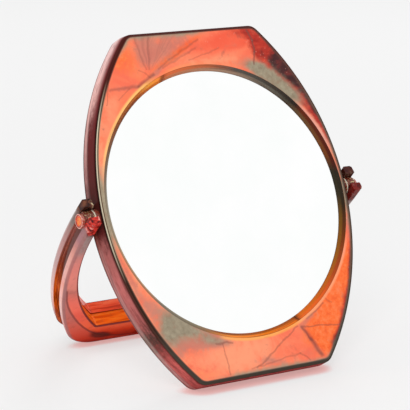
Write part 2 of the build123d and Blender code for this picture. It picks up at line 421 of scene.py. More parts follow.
# Each spot: centre x and z, half lengths along and across, turn in degrees, strength.
SPOTS = {
    "pale": [
        (-22, -86, 30, 11, 0, 1.0), (-72, -38, 16, 5, -65, 0.8), (12, 80, 24, 2.0, 0, 0.5),
        (-76, 30, 16, 3, 80, 0.7), (56, -54, 10, 4, 48, 0.8), (74, 30, 18, 3, -70, 1.0),
        (42, -78, 6, 8, 30, 0.5), (-62, 58, 12, 5, 55, 0.5)],
    "glow": [
        (-50, 84, 14, 11, 0, 0.8), (-13, 86, 22, 2.2, 27, 1.1), (57, -68, 30, 13, 55, 1.5),
        (44, -82, 16, 11, 0, 1.1), (-40, -92, 16, 6, 0, 0.4), (-50, 62, 14, 5, 45, 0.4),
        (72, -42, 18, 4, 68, 0.9)],
    "rose": [
        (8, 89, 26, 6, 0, 0.8), (28, 93, 14, 7, 0, 1.1), (20, -89, 13, 6, 0, 0.55),
        (-58, 70, 8, 8, 0, 0.4), (-74, -30, 14, 3, -75, 0.7), (-44, -80, 12, 4, -30, 0.5),
        (74, -30, 10, 4, 75, 0.8), (66, -62, 10, 3, 60, 0.6)],
    "haze": [
        (-33, 91, 9, 6, 90, 1.1), (-20, 90, 20, 7, 25, 0.9), (-48, 69, 15, 2.2, 2, 0.7),
        (-28, 76, 7, 1.6, 33, 0.9), (4, -93, 11, 3, -12, 0.7), (34, -73, 9, 1.8, 32, 0.8),
        (-62, -58, 13, 6, -52, 0.4), (-74, -34, 18, 3.0, -70, 0.6), (-44, -77, 16, 6, -30, 0.55),
        (-64, -52, 12, 4, -55, 0.4), (-30, -74, 12, 5, -22, 0.8), (77, -26, 12, 3, 78, 1.0),
        (-53, -80, 7, 4, 60, 0.6), (30, -92, 8, 4, 0, 0.5), (34, -87, 11, 2.2, -60, 0.7),
        (-36, -77, 15, 2.5, -10, 0.8), (72, 44, 12, 2.5, -65, 0.7), (76, 28, 16, 2.4, -75, 1.0),
        (70, 42, 12, 3, -66, 0.6)],
    "smoke": [
        (-51, -62, 17, 10, 45, 1.35), (-57, -71, 6, 10, 0, 0.5), (-38, -72, 16, 5, -28, 0.7),
        (-26, -77.5, 9, 2.2, -10, 0.5), (-44, -68, 12, 6, -30, 0.4), (-80, 3, 22, 7, 90, 2.0),
        (48, 64, 18, 6.2, -41, 2.2), (37, 74.5, 8, 3.4, -24, 0.9), (27, 76.5, 9, 2.0, -18, 0.35),
        (58, 56, 7, 3.0, -50, 0.5), (-34, -71, 9, 3.5, -24, 0.5), (79, 4, 26, 3.4, 92, 0.9),
        (79, -14, 14, 3, 80, 0.7)],
    "ember": [
        (52, 85, 18, 10, -50, 1.6), (44, 86, 7, 12, 0, 1.0), (60, 70, 20, 10, -57, 1.6),
        (69, 52, 15, 5.5, -61, 1.4), (76, 34, 16, 3.2, -72, 1.3), (33, 96.5, 12, 4, 0, 0.6),
        (54, -83, 18, 3.4, 50, 1.3), (64, -67, 14, 4, 60, 1.1), (74, -42, 18, 3.4, 70, 1.2),
        (34, -86, 11, 2.2, -63, 0.75)],
    # Dark pigment patches, and bands of painted shade along the right edge of the face.
    "char_and_edge_shade": [
        (61, 70, 18, 6, -60, 1.6), (53, 73, 10, 4.5, -45, 0.9), (43.5, 81, 1.6, 5, -15, 0.5),
        (72, -46, 22, 2.2, 66, 0.8), (79.5, -3, 16, 4, 90, 1.0), (71.5, 45, 10, 1.8, -66, 0.9),
        (52, -85, 15, 2.8, 50, 0.8), (71, -58, 12, 1.2, 65, 0.5)],
}
print("spots", {name: len(spots) for name, spots in SPOTS.items()})


# %% What the paint knows of each place
def surveyed(tree, lean, names=()):
    """Places in the upright frame of a leaning body, in millimetres, as a vector mm and as
    x, y and z, and the named values that are stored in the mesh."""
    limits = {"Location": PIVOT, "Rotation": (lean, 0, 0), "Scale": (MM, MM, MM)}
    place = add(tree, "TexCoord", out="Object")
    mm = add(tree, "Mapping", {"Vector": place, **limits}, vector_type="TEXTURE")
    at = {"mm": mm, **dict(zip("xyz", add(tree, "SeparateXYZ", {0: mm}).node.outputs))}
    return at | {name: add(tree, "Attribute", out="Fac", attribute_name=name) for name in names}


def weighted(tree, total, *terms):
    """A number or a socket, and to it each term's value times its weight."""
    for value, weight in terms:
        total = add(tree, "Math", {0: value, 1: weight, 2: total}, operation="MULTIPLY_ADD")
    return total


def gap_to_line(tree, place, start, end):
    """Distance to the segment between two (x, z) places. The nearest point of it is
    start + (end - start) * clamp(dot(p - start, end - start) / length^2)."""
    a, b = np.array([start[0], 0, start[1]]), np.array([end[0], 0, end[1]])
    from_a = add(tree, "VectorMath", {0: place, 1: a}, operation="SUBTRACT")
    step = (b - a) / ((b - a) @ (b - a))
    along = add(tree, "VectorMath", {0: from_a, 1: step}, out="Value", operation="DOT_PRODUCT")
    reach = {0: b - a, "Scale": add(tree, "Clamp", {0: along})}
    nearest = add(tree, "VectorMath", reach, operation="SCALE")
    return add(tree, "VectorMath", {0: from_a, 1: nearest}, out="Value", operation="DISTANCE")


# %% Colours of the frame's face
# Each flow line: its two ends in x and z, half its width, and how dark it is.
FLOW_LINES = [
    ((-25, -79), (-24, -96), 0.9, 0.4), ((-29, -78), (-19, -79), 1.0, 0.5), ((37, 96), (39.5, 90), 1.2, 0.8),
    ((39.5, 90), (39, 83), 1.2, 0.8), ((39, 83), (37, 76), 1.1, 0.7), ((29, -77), (33, -85), 1.6, 0.7),
    ((33, -85), (38, -95), 1.8, 0.6), ((26, -76), (-6, -95), 1.0, 0.45), ((30, -77), (62, -80), 0.9, 0.5),
    ((33, -73), (46, -66), 1.0, 0.5), ((-60, 68), (-42, 69), 1.7, 0.42), ((-59, 78), (-64, 60), 0.9, 0.4),
    ((-42, 69), (-31, 75), 1.8, 0.6), ((-10, -95), (24, -91), 0.9, 0.3), ((24, -91), (29, -96), 0.9, 0.35),
    ((-35, 78), (-38, 96), 0.9, 0.3), ((-33, 78), (-29, 96), 1.1, 0.3), ((-27, 78), (3, 93), 1.0, 0.35),
    ((-24, 78), (0, 88), 1.2, 0.35), ((-6, 81), (16, 87), 0.8, 0.3), ((-40, 78), (-33, 73), 0.8, 0.3),
    ((-56, 62), (-48, 68), 0.8, 0.3), ((52, -66), (44, -60), 0.8, 0.3),
]
# The fan of rays opens from one point, and every drawn line wavers by up to half of this.
FAN_CENTRE = (-34, 0, 75)
WAVER = 3.2


def face_colour(tree, at):
    """Warm body, then the pigment clouds with painted shade along the right edge, the fan of
    rays, the flow lines and the bubbles.
    """
    mm, cloud, fine = at["mm"], at["cloud"], at["fine"]
    stretched = add(tree, "Mapping", {"Vector": mm, "Rotation": (0, -1.0, 0), "Scale": (0.09, 0.2, 0.2)})
    streaks = add(tree, "TexNoise", {"Vector": stretched, "Scale": 1.0, "Detail": 5.0, "Roughness": 0.65})
    amber = [(0.35, "#EC5818"), (0.5, "#F96C26"), (0.66, "#FF8046")]
    red = [(0.30, "#941E14"), (0.5, "#B83020"), (0.70, "#D24A32")]
    coal = [(0.36, "#241618"), (0.55, "#381C1E"), (0.78, "#7A2A26")]
    grey = [(0.30, "#857963"), (0.5, "#948872"), (0.70, "#A3977F")]
    # One pigment after another is stirred in, each with an uneven edge.
    uneven = weighted(tree, -1.1, (fine, 0.8), (cloud, 1.4))
    colour = add(tree, "ValToRGB", {0: cloud}, [(0.34, "#F26E50"), (0.5, "#F97E5A"), (0.66, "#FF8E68")])
    for name, low, high, share, pigment in (
        ("pale", 0.1, 1.0, 0.8, "#FF9E76"),
        ("glow", 0.1, 1.0, 0.85, add(tree, "ValToRGB", {0: fine}, amber)),
        ("rose", 0.1, 1.1, 0.75, "#EC5036"),
        ("haze", 0.1, 1.0, 0.68, "#B47468"),
        ("ember", 0.15, 1.05, 1.0, add(tree, "ValToRGB", {0: streaks}, red)),
        ("char_and_edge_shade", 0.2, 1.1, 0.95, add(tree, "ValToRGB", {0: streaks}, coal)),
        ("smoke", 0.0, 1.6, 1.0, add(tree, "ValToRGB", {0: fine}, grey)),
    ):
        thick = add(tree, "Math", {0: at[name], 1: uneven}, operation="ADD")
        colour = painted(tree, colour, pigment, (thick, low, high, 0, share))

    # Drawn lines waver a little with the flow.
    wobble = add(tree, "TexNoise", {"Vector": mm, "Scale": 0.15, "Detail": 3.0}, out="Color")
    wobble = add(tree, "VectorMath", {0: wobble, 1: (0.5, 0.5, 0.5)}, operation="SUBTRACT")
    drawn = add(tree, "VectorMath", {0: wobble, 1: (WAVER,) * 3, 2: mm}, operation="MULTIPLY_ADD")
    drawn = add(tree, "VectorMath", {0: drawn, 1: (1, 0, 1)}, operation="MULTIPLY")
    # Rays from one point: noise of the direction only, wide ones under fine ones.
    from_fan = add(tree, "VectorMath", {0: drawn, 1: FAN_CENTRE}, operation="SUBTRACT")
    reach = add(tree, "VectorMath", {0: from_fan}, out="Value", operation="LENGTH")
    fan_x, _, fan_z = add(tree, "SeparateXYZ", {0: from_fan}).node.outputs
    turn = add(tree, "Math", {0: fan_z, 1: fan_x}, operation="ARCTAN2")
    ray_sizes = {"Scale": 5.0, "Detail": 5.0, "Roughness": 0.7}
    rays = add(tree, "TexNoise", {"W": turn, **ray_sizes}, noise_dimensions="1D")
    colour = painted(
        tree, colour, "#965A50",
        (rays, 0.44, 0.64, 0, 0.3), (turn, 0.3, 0.5), (turn, 1.7, 2.0, 1, 0), (reach, 14, 48, 1, 0),
    )
    for start, end, width, depth in FLOW_LINES:
        gap = gap_to_line(tree, drawn, start, end)
        colour = painted(tree, colour, "#7A4038", (gap, 0, width, depth, 0))

    # Tiny bubbles catch the light where the pigment is thick.
    bubbles = add(tree, "TexVoronoi", {"Vector": mm, "Scale": 0.36, "Randomness": 1.0})
    thick = add(tree, "Math", {0: at["ember"], 1: at["rose"]}, operation="ADD")
    return painted(tree, colour, "#F4AE98", (bubbles, 0.05, 0.2, 0.26, 0), (thick, 0.3, 1.0))


# %% [markdown]
# ## Edges and bezel
# Light that goes in through the faces comes out at the walls, the chamfers and the bezel,
# in dark, amber and pale bands that change on the way round, and the room shines pale in
# them. Real refraction could make them, but it is slow and noisy, and it would not give the
# same bands. So these bands are painted light, shade and reflection: each has a colour ramp
# along it, by the height or by the direction from the centre.

# %% Colours of the frame's walls and chamfers
# The walls change with the height, from the foot at 0 to the top at 1. The front wall is
# darker, red with painted shade, and the back wall is pale with a painted reflection of the
# room, palest at the top.
FRONT_WALL = [
    (0.0, "#A84A48"), (0.06, "#CE605A"), (0.12, "#8A3E3A"), (0.155, "#4C362E"), (0.2, "#A85A56"),
    (0.3, "#C06A66"), (0.4, "#A05A56"), (0.45, "#622A28"), (0.52, "#46201C"), (0.62, "#561C1A"),
    (0.8, "#6A1214"), (1.0, "#7E2422")]
BACK_WALL = [
    (0.0, "#B87874"), (0.08, "#C08480"), (0.15, "#8C786E"), (0.2, "#B07672"), (0.32, "#B87C78"),
    (0.42, "#A0625C"), (0.47, "#5E3630"), (0.54, "#5A302C"), (0.62, "#A87470"), (0.74, "#D09A94"),
    (0.84, "#F0B8B0"), (1.0, "#F2C8C4")]
# The chamfer changes across, by a tenth of the row count: 0.2 wall's end, 0.3 face.
# The lit chamfer carries a pale line of painted reflection; the other is dark with painted shade.
LIT_CHAMFER = [
    (0.20, "#1C1210"), (0.22, "#2A1C18"), (0.236, "#D2C8AE"), (0.258, "#BFB49A"), (0.272, "#4A342A"),
    (0.292, "#5A4032"), (0.306, "#9A8C72"), (0.45, "#8A6048")]
SHADED_CHAMFER = [
    (0.20, "#46261F"), (0.225, "#4A2E26"), (0.26, "#30201A"), (0.29, "#38261F"), (0.31, "#4E3A30"),
    (0.45, "#6A5242")]


def edge_colour(tree, at):
    """Colour of the wall, the chamfer and the first of the face, and how far it covers."""
    across, rear = at["across"], at["rear"]
    height = weighted(tree, 0.44, (at["z"], 0.005), (at["fine"], 0.12))
    front_wall, back_wall = [add(tree, "ValToRGB", {0: height}, s) for s in (FRONT_WALL, BACK_WALL)]
    # The dark half of the wall runs a little past the seam. High up, the pale light comes
    # round the seam onto the front half.
    high = cover(tree, (height, 0.72, 0.86))
    behind = cover(tree, rear, (across, 1.04, 1.5))
    round_seam = cover(tree, high, (weighted(tree, across, (rear, -2.0)), 0.9, 1.8, 1, 0))
    behind = add(tree, "Math", {0: behind, 1: round_seam}, operation="MAXIMUM")
    wall = painted(tree, front_wall, back_wall, behind)
    stretched = add(tree, "Mapping", {"Vector": at["mm"], "Scale": (0.2, 0.6, 0.06)})
    streaks = add(tree, "TexNoise", {"Vector": stretched, "Scale": 1.0, "Detail": 4.0, "Roughness": 0.6})
    wall = painted(tree, wall, "#5A2224", (streaks, 0.48, 0.66, 0, 0.45))
    # A dark line of painted shade runs along the wall's end, at the chamfer.
    wall = painted(tree, wall, "#34120E", (across, 1.68, 1.96, 0, 0.75))
    row = add(tree, "Math", {0: across, 1: 0.1}, operation="MULTIPLY")
    lit, dark = [add(tree, "ValToRGB", {0: row}, s) for s in (LIT_CHAMFER, SHADED_CHAMFER)]
    # The shaded chamfer is painted dark red high up and grey at the foot, and on the far half it
    # melts into the wall's painted pale reflection.
    dark = painted(tree, dark, "#4E1816", high, 0.6)
    dark = painted(tree, dark, "#46423A", (height, 0.08, 0.2, 0.8, 0))
    dark = painted(tree, dark, back_wall, rear, 0.85)
    colour = painted(tree, wall, painted(tree, dark, lit, at["lit"]), (across, 1.90, 2.0))
    # The dark line of painted edge shade goes on over the first of the face, further where no
    # pale line shows and most on the right, where the far wall shows through the edge.
    width = weighted(tree, cover(tree, (at["x"], 30, 50, 0.6, 1.4)), (at["lit"], -0.35))
    inward = add(tree, "Math", {0: at["rim"], 1: width}, operation="DIVIDE")
    return colour, (inward, 0.4, 1.6, 1, 0)


# %% Colours of the bezel
# Three bands of painted light, shade and reflection round the glass change with the
# direction from its centre: the face beside the slope, with its painted highlight, the slope's
# upper part and its lower part. 0 is left, 0.25 below and 0.5 right.
BESIDE = [
    (0.0, "#B0A084", 0.0), (0.036, "#F0A878", 0.3), (0.10, "#F09A6C", 0.3), (0.115, "#A89878", 0.0),
    (0.195, "#FFB060", 0.0), (0.205, "#FFB060", 0.9), (0.30, "#FFA850", 0.9), (0.32, "#FFAE78", 0.7),
    (0.42, "#FFA680", 0.7), (0.45, "#FFA060", 0.0), (0.54, "#E0A090", 0.0), (0.56, "#E8A898", 0.8),
    (0.60, "#E09C8C", 0.7), (0.62, "#C8A088", 0.0), (0.70, "#FF9A68", 0.0), (0.79, "#FF9A58", 0.5),
    (0.806, "#F08038", 0.0), (0.83, "#FFBC68"), (0.93, "#FFC078"), (0.965, "#D8B088", 0.3),
    (1.0, "#B0A084", 0.0)]
UPPER = [
    (0.0, "#8A7C60"), (0.035, "#8E7C5C"), (0.045, "#A66A3E"), (0.10, "#9A6038"), (0.118, "#6C6250"),
    (0.165, "#72644E"), (0.178, "#86603E"), (0.20, "#D07A30"), (0.215, "#EE8428"), (0.304, "#E06A14"),
    (0.309, "#4A1C08"), (0.313, "#E06420"), (0.355, "#D4561C"), (0.39, "#A4421A"), (0.44, "#64300E"),
    (0.475, "#2E2012"), (0.515, "#24241C"), (0.53, "#4A1A10"), (0.60, "#5E2410"), (0.612, "#241E1A"),
    (0.64, "#3A342E"), (0.70, "#55504A"), (0.735, "#B4603E"), (0.796, "#DA6A3A"), (0.803, "#5A2414"),
    (0.808, "#FF9040"), (0.824, "#F5A040"), (0.84, "#C86A20"), (0.90, "#8A4412"), (0.95, "#705036"),
    (1.0, "#8E7E62")]
LOWER = [
    (0.0, "#9E9580"), (0.04, "#B89468"), (0.10, "#AC8054"), (0.12, "#7C705A"), (0.17, "#86785C"),
    (0.20, "#98501E"), (0.304, "#A04E14"), (0.309, "#4A2008"), (0.314, "#CC6418"), (0.36, "#BC5C16"),
    (0.41, "#8E5216"), (0.46, "#664414"), (0.49, "#2E2A1C"), (0.52, "#2A281E"), (0.54, "#6E3A18"),
    (0.60, "#5E4228"), (0.62, "#403A30"), (0.66, "#6A645A"), (0.72, "#9E7C66"), (0.797, "#C6764E"),
    (0.803, "#6A321C"), (0.808, "#D8742C"), (0.85, "#8E3E0E"), (0.92, "#704626"), (0.96, "#8A7E68"),
    (1.0, "#9E9580")]


def bezel_colour(tree, at):
    """Colour of the three bands, how far it covers the face, and where the slope is."""
    across = at["across"]
    turn = add(tree, "Math", {0: at["z"], 1: at["x"]}, operation="ARCTAN2")
    turn = weighted(tree, 0.497, (turn, 0.5 / np.pi), (at["fine"], 0.006))
    beside, beside_cover = add(tree, "ValToRGB", {0: turn}, BESIDE).node.outputs
    upper, lower = [add(tree, "ValToRGB", {0: turn}, stops) for stops in (UPPER, LOWER)]
    colour = painted(tree, beside, upper, (across, 5.45, 5.56))
    colour = painted(tree, colour, lower, (across, 5.85, 6.15))
    ring = add(tree, "CombineXYZ", {0: turn, 1: across})
    ring = add(tree, "Mapping", {"Vector": ring, "Scale": (16, 4, 1)})
    streaks = add(tree, "TexNoise", {"Vector": ring, "Scale": 1.0, "Detail": 4.0})
    colour = painted(tree, colour, "#4A2814", (streaks, 0.5, 0.68, 0, 0.4))
    slope = cover(tree, (across, 5.38, 5.48))
    # A thin dark line where the face turns down, and one at the glass.
    fold = cover(tree, slope, (across, 5.5, 5.62, 0.55, 0))
    at_glass = cover(tree, (across, 6.38, 6.48, 0, 0.7))
    line = add(tree, "Math", {0: fold, 1: at_glass}, operation="MAXIMUM")
    colour = painted(tree, colour, "#2E1A10", line)
    near = cover(tree, beside_cover, (at["lip"], 0.6, 2.2, 1, 0))
    return colour, add(tree, "Math", {0: slope, 1: near}, operation="MAXIMUM"), slope


# %% The frame's material
IOR_ACRYLIC = 1.49
RIPPLE = 0.4 * MM


def mottled_frame():
    """Clear acrylic with orange and smoke pigment, polished: it keeps its colour at the
    edges, where the light goes in, and takes a soft sheen on the faces."""
    material, tree = new_material("mottled_polished_acrylic")
    at = surveyed(tree, HEAD_LEAN, ("across", "rim", "lip", "lit", "rear", *SPOTS))
    # A noise scale is one over a size: clouds of 14 mm and fine folds of 3 mm.
    cloud = {"Vector": at["mm"], "Scale": 0.07, "Detail": 6.0, "Roughness": 0.6, "Distortion": 0.8}
    fine = {"Vector": at["mm"], "Scale": 0.35, "Detail": 5.0, "Roughness": 0.65}
    at |= {"cloud": add(tree, "TexNoise", cloud), "fine": add(tree, "TexNoise", fine)}
    across = at["across"]
    edge, reach = edge_colour(tree, at)
    colour = painted(tree, face_colour(tree, at), edge, reach, (across, 4.4, 4.5, 1, 0))
    bezel, reach, slope = bezel_colour(tree, at)
    colour = painted(tree, colour, bezel, reach)
    # Where the light goes in and does not come back: the wall, the chamfer and the bezel.
    wall = cover(tree, (across, 3.1, 3.4, 0.6, 0))
    chamfer = cover(tree, (across, 1.7, 1.95, 0, 0.35), (across, 3.1, 3.4, 1, 0))
    inner = weighted(tree, wall, (chamfer, 1.0), (slope, 0.6))
    surfaced(tree, {
        "Base Color": colour, "Roughness": cover(tree, (at["fine"], 0.3, 0.8, 0.06, 0.16)),
        "IOR": IOR_ACRYLIC, "Specular IOR Level": 0.2,
        "Normal": add(tree, "Bump", {"Height": at["cloud"], "Strength": 0.12, "Distance": RIPPLE}),
    }, inner)
    return material


frame_plastic = mottled_frame()
print("flow lines", len(FLOW_LINES))


# %% Make the two halves
def faded(value, start, length):
    """0 before a start, 1 a length after it, and even steps between."""
    return np.clip((value - start) / length, 0, 1)


def dress_half(name, half):
    """One half's skin, with the values that its material reads."""
    points, across, rim = half_frame(*half)
    rows, columns = map(np.arange, across.shape)
    faces = quads(closed(rows), closed(columns), len(columns))
    skin = leant(points, HEAD_LEAN)
    piece = mesh_piece(name + "_skin", skin, faces, frame_plastic, "mirror_head")
    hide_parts(name)
    x, z = points[..., 0], points[..., 2]
    # The pale chamfer line, a painted reflection of the room, shows on the left side only, from a little
    # below the hinge up.
    lit = faded(-outward[None, :, 0], 0.45, 0.3) * faded(z, -38, 25) * faded(-z, -74, 25)
    # A smoky strip follows the edge along the left of the top and the right of the bottom.
    top = faded(z, 84, 8) * faded(-x, -16, 14)
    bottom = faded(-z, 84, 8) * np.clip((x + 46) / 30, 0.3, 1)
    strip = 1.3 * (top + bottom) * np.exp(-((np.clip(rim, 0, None) / 2.2) ** 2))
    pigment = {name: clouds(x, z, spots) for name, spots in SPOTS.items()}
    pigment["smoke"] += strip
    rear = np.full(across.shape, max(half[0], 0))
    set_values(piece, across=across, rim=rim, lip=np.hypot(x, z) - BEZEL, lit=lit, rear=rear, **pigment)


dress_half("front_shell", FRONT_HALF)
dress_half("back_shell", BACK_HALF)

# %% [markdown]
# ## The prop stand
# The stand is one U-shaped moulding. Two beads run round its outside with a groove between
# them, and at the top of each arm the groove opens right through, which leaves two prongs
# with the pivot between them. It is again one grid: rows walk round the section, columns
# walk from the left prong ends down and round to the right ones. Above the pivot only the
# two beads go on, each closed by a wall of its own.


# %% Outlines of the stand
YOKE_HALF, YOKE_GAP, WINDOW_DEPTH, YOKE_DEPTH = 90.7, 84.5, 104.6, 124.8
WINDOW_ARC, BACK_ARC, FRONT_ARC = 152.5, 230.0, 214.0
WINDOW_CORNER, BACK_CORNER, FRONT_CORNER = 3.0, 30.0, 26.0
STAND_HALF, PRONG_GAP, ARM_RISE = 8.5, 3.4, 8.0
# Columns above the pivot, then those of the side, the corner and half the crossbar.
ABOVE = 5
YOKE_STEPS = (60, 20, 20)


def yoke_outline(half_width, depth, arc, corner):
    """Points and outward normals from the left arm's end round to the right one: a side
    arc that starts above the pivot, a corner arc, half the crossbar, and the mirror image."""
    above = np.linspace(-np.arcsin(ARM_RISE / arc), 0, ABOVE)[:-1]
    half = bow(half_width, depth, arc, corner, above, *YOKE_STEPS)
    return [np.concatenate([side * [-1, -1], side[::-1][1:] * [1, -1]]) for side in half]


window = yoke_outline(YOKE_GAP, WINDOW_DEPTH, WINDOW_ARC, WINDOW_CORNER)
front = yoke_outline(YOKE_HALF, YOKE_DEPTH, FRONT_ARC, FRONT_CORNER)
back = yoke_outline(YOKE_HALF, YOKE_DEPTH, BACK_ARC, BACK_CORNER)
columns = len(window[0])
print("columns", columns)

# %% The stand's section, block by block
# Corners are millimetres out from an outline and millimetres deep. The row count runs on:
# 0 inside front, 3 front face, 4 outside front, 9 groove, 13 outside back, 18 back face,
# 19 inside back, 23 slit.
inside_front = rounded([(0, -PRONG_GAP), (0, -7.8), (0.7, -STAND_HALF), (1.2, -STAND_HALF)], [0.3, 0.2])
outside_front = rounded(
    [(-3.6, -STAND_HALF), (0, -STAND_HALF), (0, -3.8), (-0.4, -PRONG_GAP), (-0.8, -PRONG_GAP)],
    [2.8, 0.15, 0.1], steps=8,
)
groove = rounded([(-1.2, -PRONG_GAP), (-2, -PRONG_GAP), (-2, PRONG_GAP), (-1.2, PRONG_GAP)], [0.3, 0.3])
outside_back = rounded(
    [(-0.8, PRONG_GAP), (-0.4, PRONG_GAP), (0, 3.8), (0, 7.5), (-1.0, STAND_HALF), (-1.6, STAND_HALF)],
    [0.1, 0.15, 0.4, 0.3],
)
inside_back = rounded([(1.2, STAND_HALF), (0.7, STAND_HALF), (0, 7.8), (0, PRONG_GAP)], [0.2, 0.3])
slit = rounded(
    [(0, 1.3), (0, 0.8), (1.0, 0.7), (1.0, -0.7), (0, -0.8), (0, 0.02 - PRONG_GAP)],
    [0.12, 0.2, 0.2, 0.12],
)
# The slit starts 10 mm below the pivot and comes to its full depth in 1.5 mm.
slit_depth = faded(-window[0][:, 1], 10, 1.5)


def lifted(outline, section, reach=1.0):
    """Rows along one outline, moved along its normals by the section's first number."""
    flat = outline[0][None] + (section[:, 0, None] * reach)[..., None] * outline[1][None]
    depth = np.broadcast_to(section[:, 1, None], flat.shape[:2])
    return np.stack([flat[..., 0], depth, flat[..., 1]], -1)


def bridged(first, last, start):
    """Rows in even steps between two rows, for a flat face that joins two outlines, and
    their row counts from a start."""
    w = np.linspace(0, 1, 15)[1:-1]
    return (1 - w[:, None, None]) * first[None] + w[:, None, None] * last[None], start + w


start_of_front, end_of_front = lifted(window, inside_front), lifted(front, outside_front)
start_of_back, end_of_back = lifted(back, outside_back), lifted(window, inside_back)
blocks = {
    "inside_front": (start_of_front, inside_front[:, 2]),
    "front_face": bridged(start_of_front[-1], end_of_front[0], 3),
    "outside_front": (end_of_front, 4 + outside_front[:, 2]),
    "groove": (lifted(front, groove), 9 + groove[:, 2]),
    "outside_back": (start_of_back, 13 + outside_back[:, 2]),
    "back_face": bridged(start_of_back[-1], end_of_back[0], 18),
    "inside_back": (end_of_back, 19 + inside_back[:, 2]),
    "slit": (lifted(window, slit, slit_depth), 23 + slit[:, 2]),
}
yoke_points = np.concatenate([points for points, _ in blocks.values()])
yoke_across = np.concatenate([count for _, count in blocks.values()])
ends = np.cumsum([len(count) for _, count in blocks.values()])
print("rows", {name: int(end) for name, end in zip(blocks, ends)})

# %% The stand's faces
front_rows, groove_rows, back_rows, slit_rows = np.split(np.arange(ends[7]), ends[[2, 3, 6]])
left, right = np.arange(0, ABOVE), np.arange(columns - ABOVE, columns)
faces = quads(closed(np.arange(ends[7])), np.arange(ABOVE - 1, columns - ABOVE + 1), columns)
web_end = [front_rows[-1:], groove_rows, back_rows[:1], back_rows[-1:], slit_rows, front_rows[:1]]
for arm, pivot_column, tip_column in ((left, left[-1], left[0]), (right, right[0], right[-1])):
    for bead in (front_rows, back_rows):
        faces += quads(closed(bead), arm, columns)
        faces.append((bead * columns + tip_column).tolist())
    faces.append((np.concatenate(web_end) * columns + pivot_column).tolist())
print("faces", len(faces))

# %% [markdown]
# ## Mottled plastic of the stand
# The same plastic in a redder batch. The faces are salmon and turn redder towards the
# crossbar, the side walls look pale where they carry the light of the room, and the groove
# glows dark orange. A dark crease runs along the front, where the far edge of the groove
# shows through, and sweeps into the crossbar.

# %% Crease along the front face
CREASE = [
    (-80.5, -58), (-79, -62), (-76.5, -69), (-73, -76), (-69, -82.5), (-64, -89.5), (-58.5, -96.5),
    (-52.5, -103), (-46, -109), (-39.5, -113.5), (-32, -117), (-22, -119.5), (-10, -120.5)]
BAR_SPOTS = [(-36, -115.5, 8, 3.2, -14, 1.1), (-44, -110, 5, 2, -40, 0.4), (30, -114, 20, 4, 10, 0.7)]


def signed_distance(x, z, path):
    """Distance to the nearest of a path's straight pieces, negative on its right."""
    a, b = np.array(path[:-1], dtype=float), np.array(path[1:], dtype=float)
    run = b - a
    dx, dz = x[..., None] - a[:, 0], z[..., None] - a[:, 1]
    t = np.clip((dx * run[:, 0] + dz * run[:, 1]) / (run**2).sum(-1), 0, 1)
    gap_x, gap_z = dx - t * run[:, 0], dz - t * run[:, 1]
    gap = np.hypot(gap_x, gap_z)
    nearest = gap.argmin(-1)[..., None]
    side = np.sign(run[:, 0] * gap_z - run[:, 1] * gap_x)
    return np.take_along_axis(gap * side, nearest, -1)[..., 0]


# %% Colours of the stand by height
# The places are heights in millimetres from the pivot, from the crossbar's foot up. Each
# ramp darkens at the foot with painted shade near the floor. The walls are pale with a painted
# reflection of the room, and the groove is orange with painted light that comes through it.
FOOT, SPAN = -126, 136
DOWN_THE_ARM = {
    "face": [
        (-126, "#9A2414"), (-119, "#B8301A"), (-112, "#F04C24"), (-105, "#FF6A40"), (-90, "#F6614C"),
        (-80, "#FF745C"), (-66, "#F27462"), (-60, "#D07468"), (-57, "#E88878"), (-45, "#F08C7E"),
        (-36, "#EE8A7E"), (-26, "#D68880"), (-18, "#AE8682"), (0, "#948480"), (10, "#9A8480")],
    "outside": [
        (-126, "#A82A18"), (-118, "#E04A30"), (-104, "#E0604C"), (-90, "#CE6E62"), (-70, "#C6746C"),
        (-58, "#C0807A"), (-30, "#A8807C"), (10, "#8E7E7A")],
    "front_wall": [
        (-126, "#8A2A24"), (-114, "#C8605A"), (-100, "#EAA098"), (-85, "#F6C4BA"), (-66, "#FFBAAE"),
        (-55, "#F6A292"), (-45, "#F0B0A8"), (-35, "#E8AA9E"), (-25, "#E2988A"), (-15, "#CE887E"),
        (-8, "#A87478"), (10, "#86706C")],
    "groove": [
        (-126, "#5A1A10"), (-108, "#9A3A18"), (-92, "#F06A1A"), (-76, "#EA661C"), (-62, "#D85A20"),
        (-50, "#B8502E"), (-38, "#A05444"), (-24, "#9A5A54"), (-10, "#A8625A"), (10, "#B05A4C")],
    "back_wall": [
        (-126, "#6A2420"), (-112, "#A8584E"), (-96, "#D89A92"), (-80, "#EEC0BA"), (-65, "#DEB2AC"),
        (-45, "#C29A98"), (-35, "#C2908C"), (-25, "#B68682"), (-15, "#A07A74"), (-8, "#82706A"),
        (10, "#6E5850")],
}
# These change with a noise instead: streaks in the window's side and in the groove, and
# knots of every colour at the prong ends.
BRIGHT = [(0.36, "#E04E0C"), (0.5, "#FF6A14"), (0.66, "#FF8428")]
BEHIND = [(0.36, "#C83E26"), (0.5, "#EE5232"), (0.68, "#FF7A54")]
STREAKS = [(0.40, "#3A140C"), (0.46, "#8A3412"), (0.53, "#E8661A"), (0.60, "#FF8A30")]
RED_KNOTS = [(0.36, "#3E0E0E"), (0.44, "#8E1C18"), (0.53, "#D83C30"), (0.61, "#A82822"), (0.70, "#F4A094")]
DARK_KNOTS = [(0.34, "#1E1210"), (0.46, "#4A241C"), (0.56, "#7A4A34"), (0.63, "#3A1C18"), (0.70, "#C8B490")]


